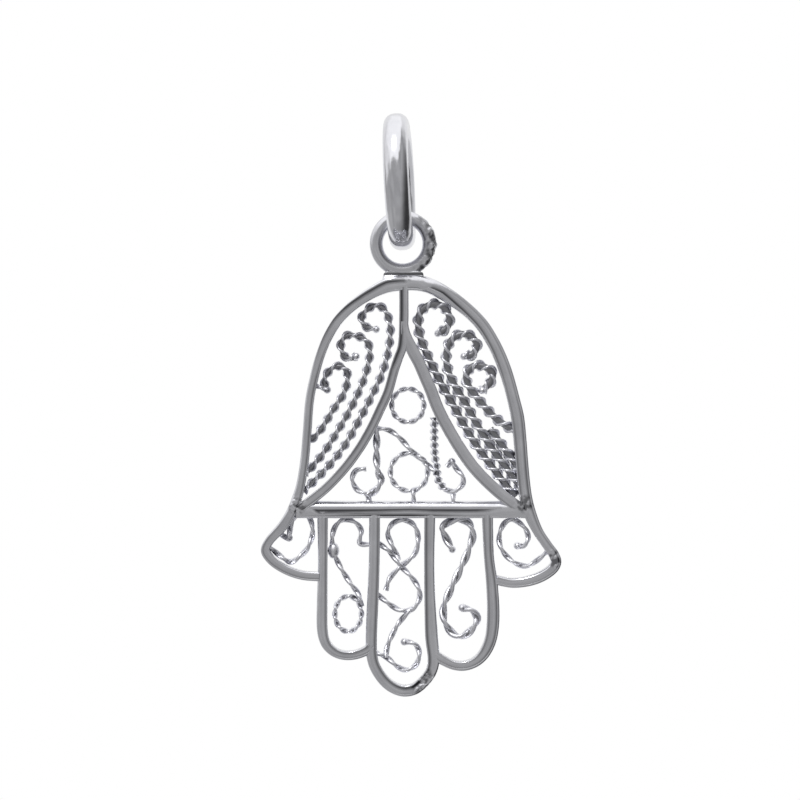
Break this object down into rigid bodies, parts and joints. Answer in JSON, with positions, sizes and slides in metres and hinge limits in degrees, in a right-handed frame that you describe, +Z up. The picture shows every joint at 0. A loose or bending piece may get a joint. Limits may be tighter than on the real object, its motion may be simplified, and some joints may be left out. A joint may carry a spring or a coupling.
{
  "type": "filigree hand pendant",
  "caption": "Openwork hand pendant with wire scrolls inside a wire frame, a round top loop and a plain ring bail that hangs it from a chain.",
  "frame": {"origin": "the chain's seat, at the top of the inside of the bail's ring", "axes": "+Z up as the pendant hangs, +X to the right as seen from the front, -Y out of the front face"},
  "size_m": [0.015, 0.0068, 0.0292],
  "materials": {
    "bail_metal": "polished rhodium-plated silver",
    "hand_metal": "polished rhodium-plated silver, darker in the recesses"
  },
  "bodies": {
    "bail": {"bail": "bail_metal"},
    "hand": {"hand": "hand_metal"}
  },
  "joints": [
    {"name": "hand_swing", "type": "hinge", "parent": "bail", "child": "hand", "pos_m": [0.00027, 0, -0.00394], "axis": [1, 0, 0], "range_deg": [-50, 50]}
  ]
}
